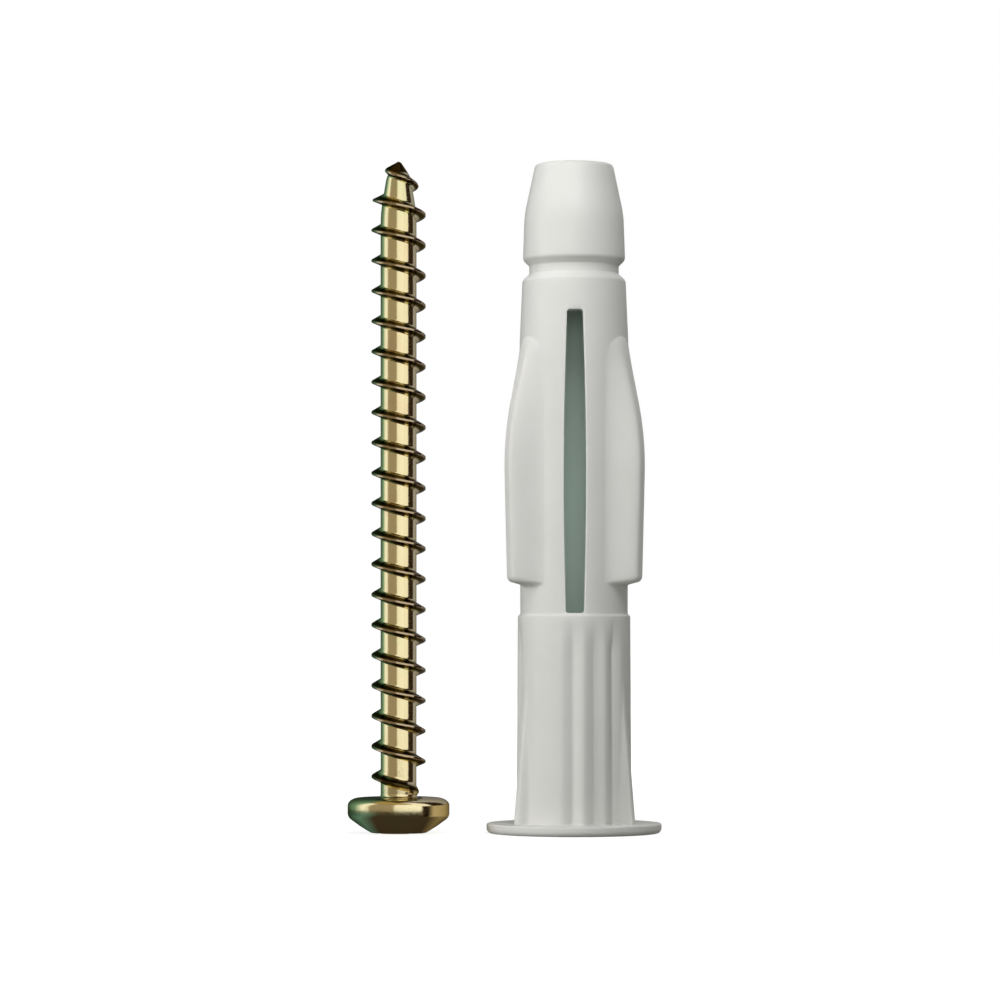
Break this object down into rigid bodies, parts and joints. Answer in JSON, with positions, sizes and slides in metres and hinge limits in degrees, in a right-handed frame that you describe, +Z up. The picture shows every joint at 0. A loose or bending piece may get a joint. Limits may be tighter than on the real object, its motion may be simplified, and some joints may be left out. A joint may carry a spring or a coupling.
{
  "type": "wall plug with screw",
  "caption": "Nylon wall plug with rim, slotted legs and anti-turn fins, and the threaded pan head screw that spreads it in a drilled hole.",
  "frame": {"origin": "on the ground, in the middle of the box round the pair", "axes": "+Z up along both shanks, +X from the screw to the plug, the pictured front looks along -Y"},
  "size_m": [0.024, 0.0134, 0.0512],
  "materials": {
    "plug_nylon": "light grey moulded nylon, soft satin",
    "screw_steel": "yellow zinc plated steel, smooth"
  },
  "bodies": {
    "root": {"wall_plug": "plug_nylon", "screw": "screw_steel"}
  },
  "joints": []
}
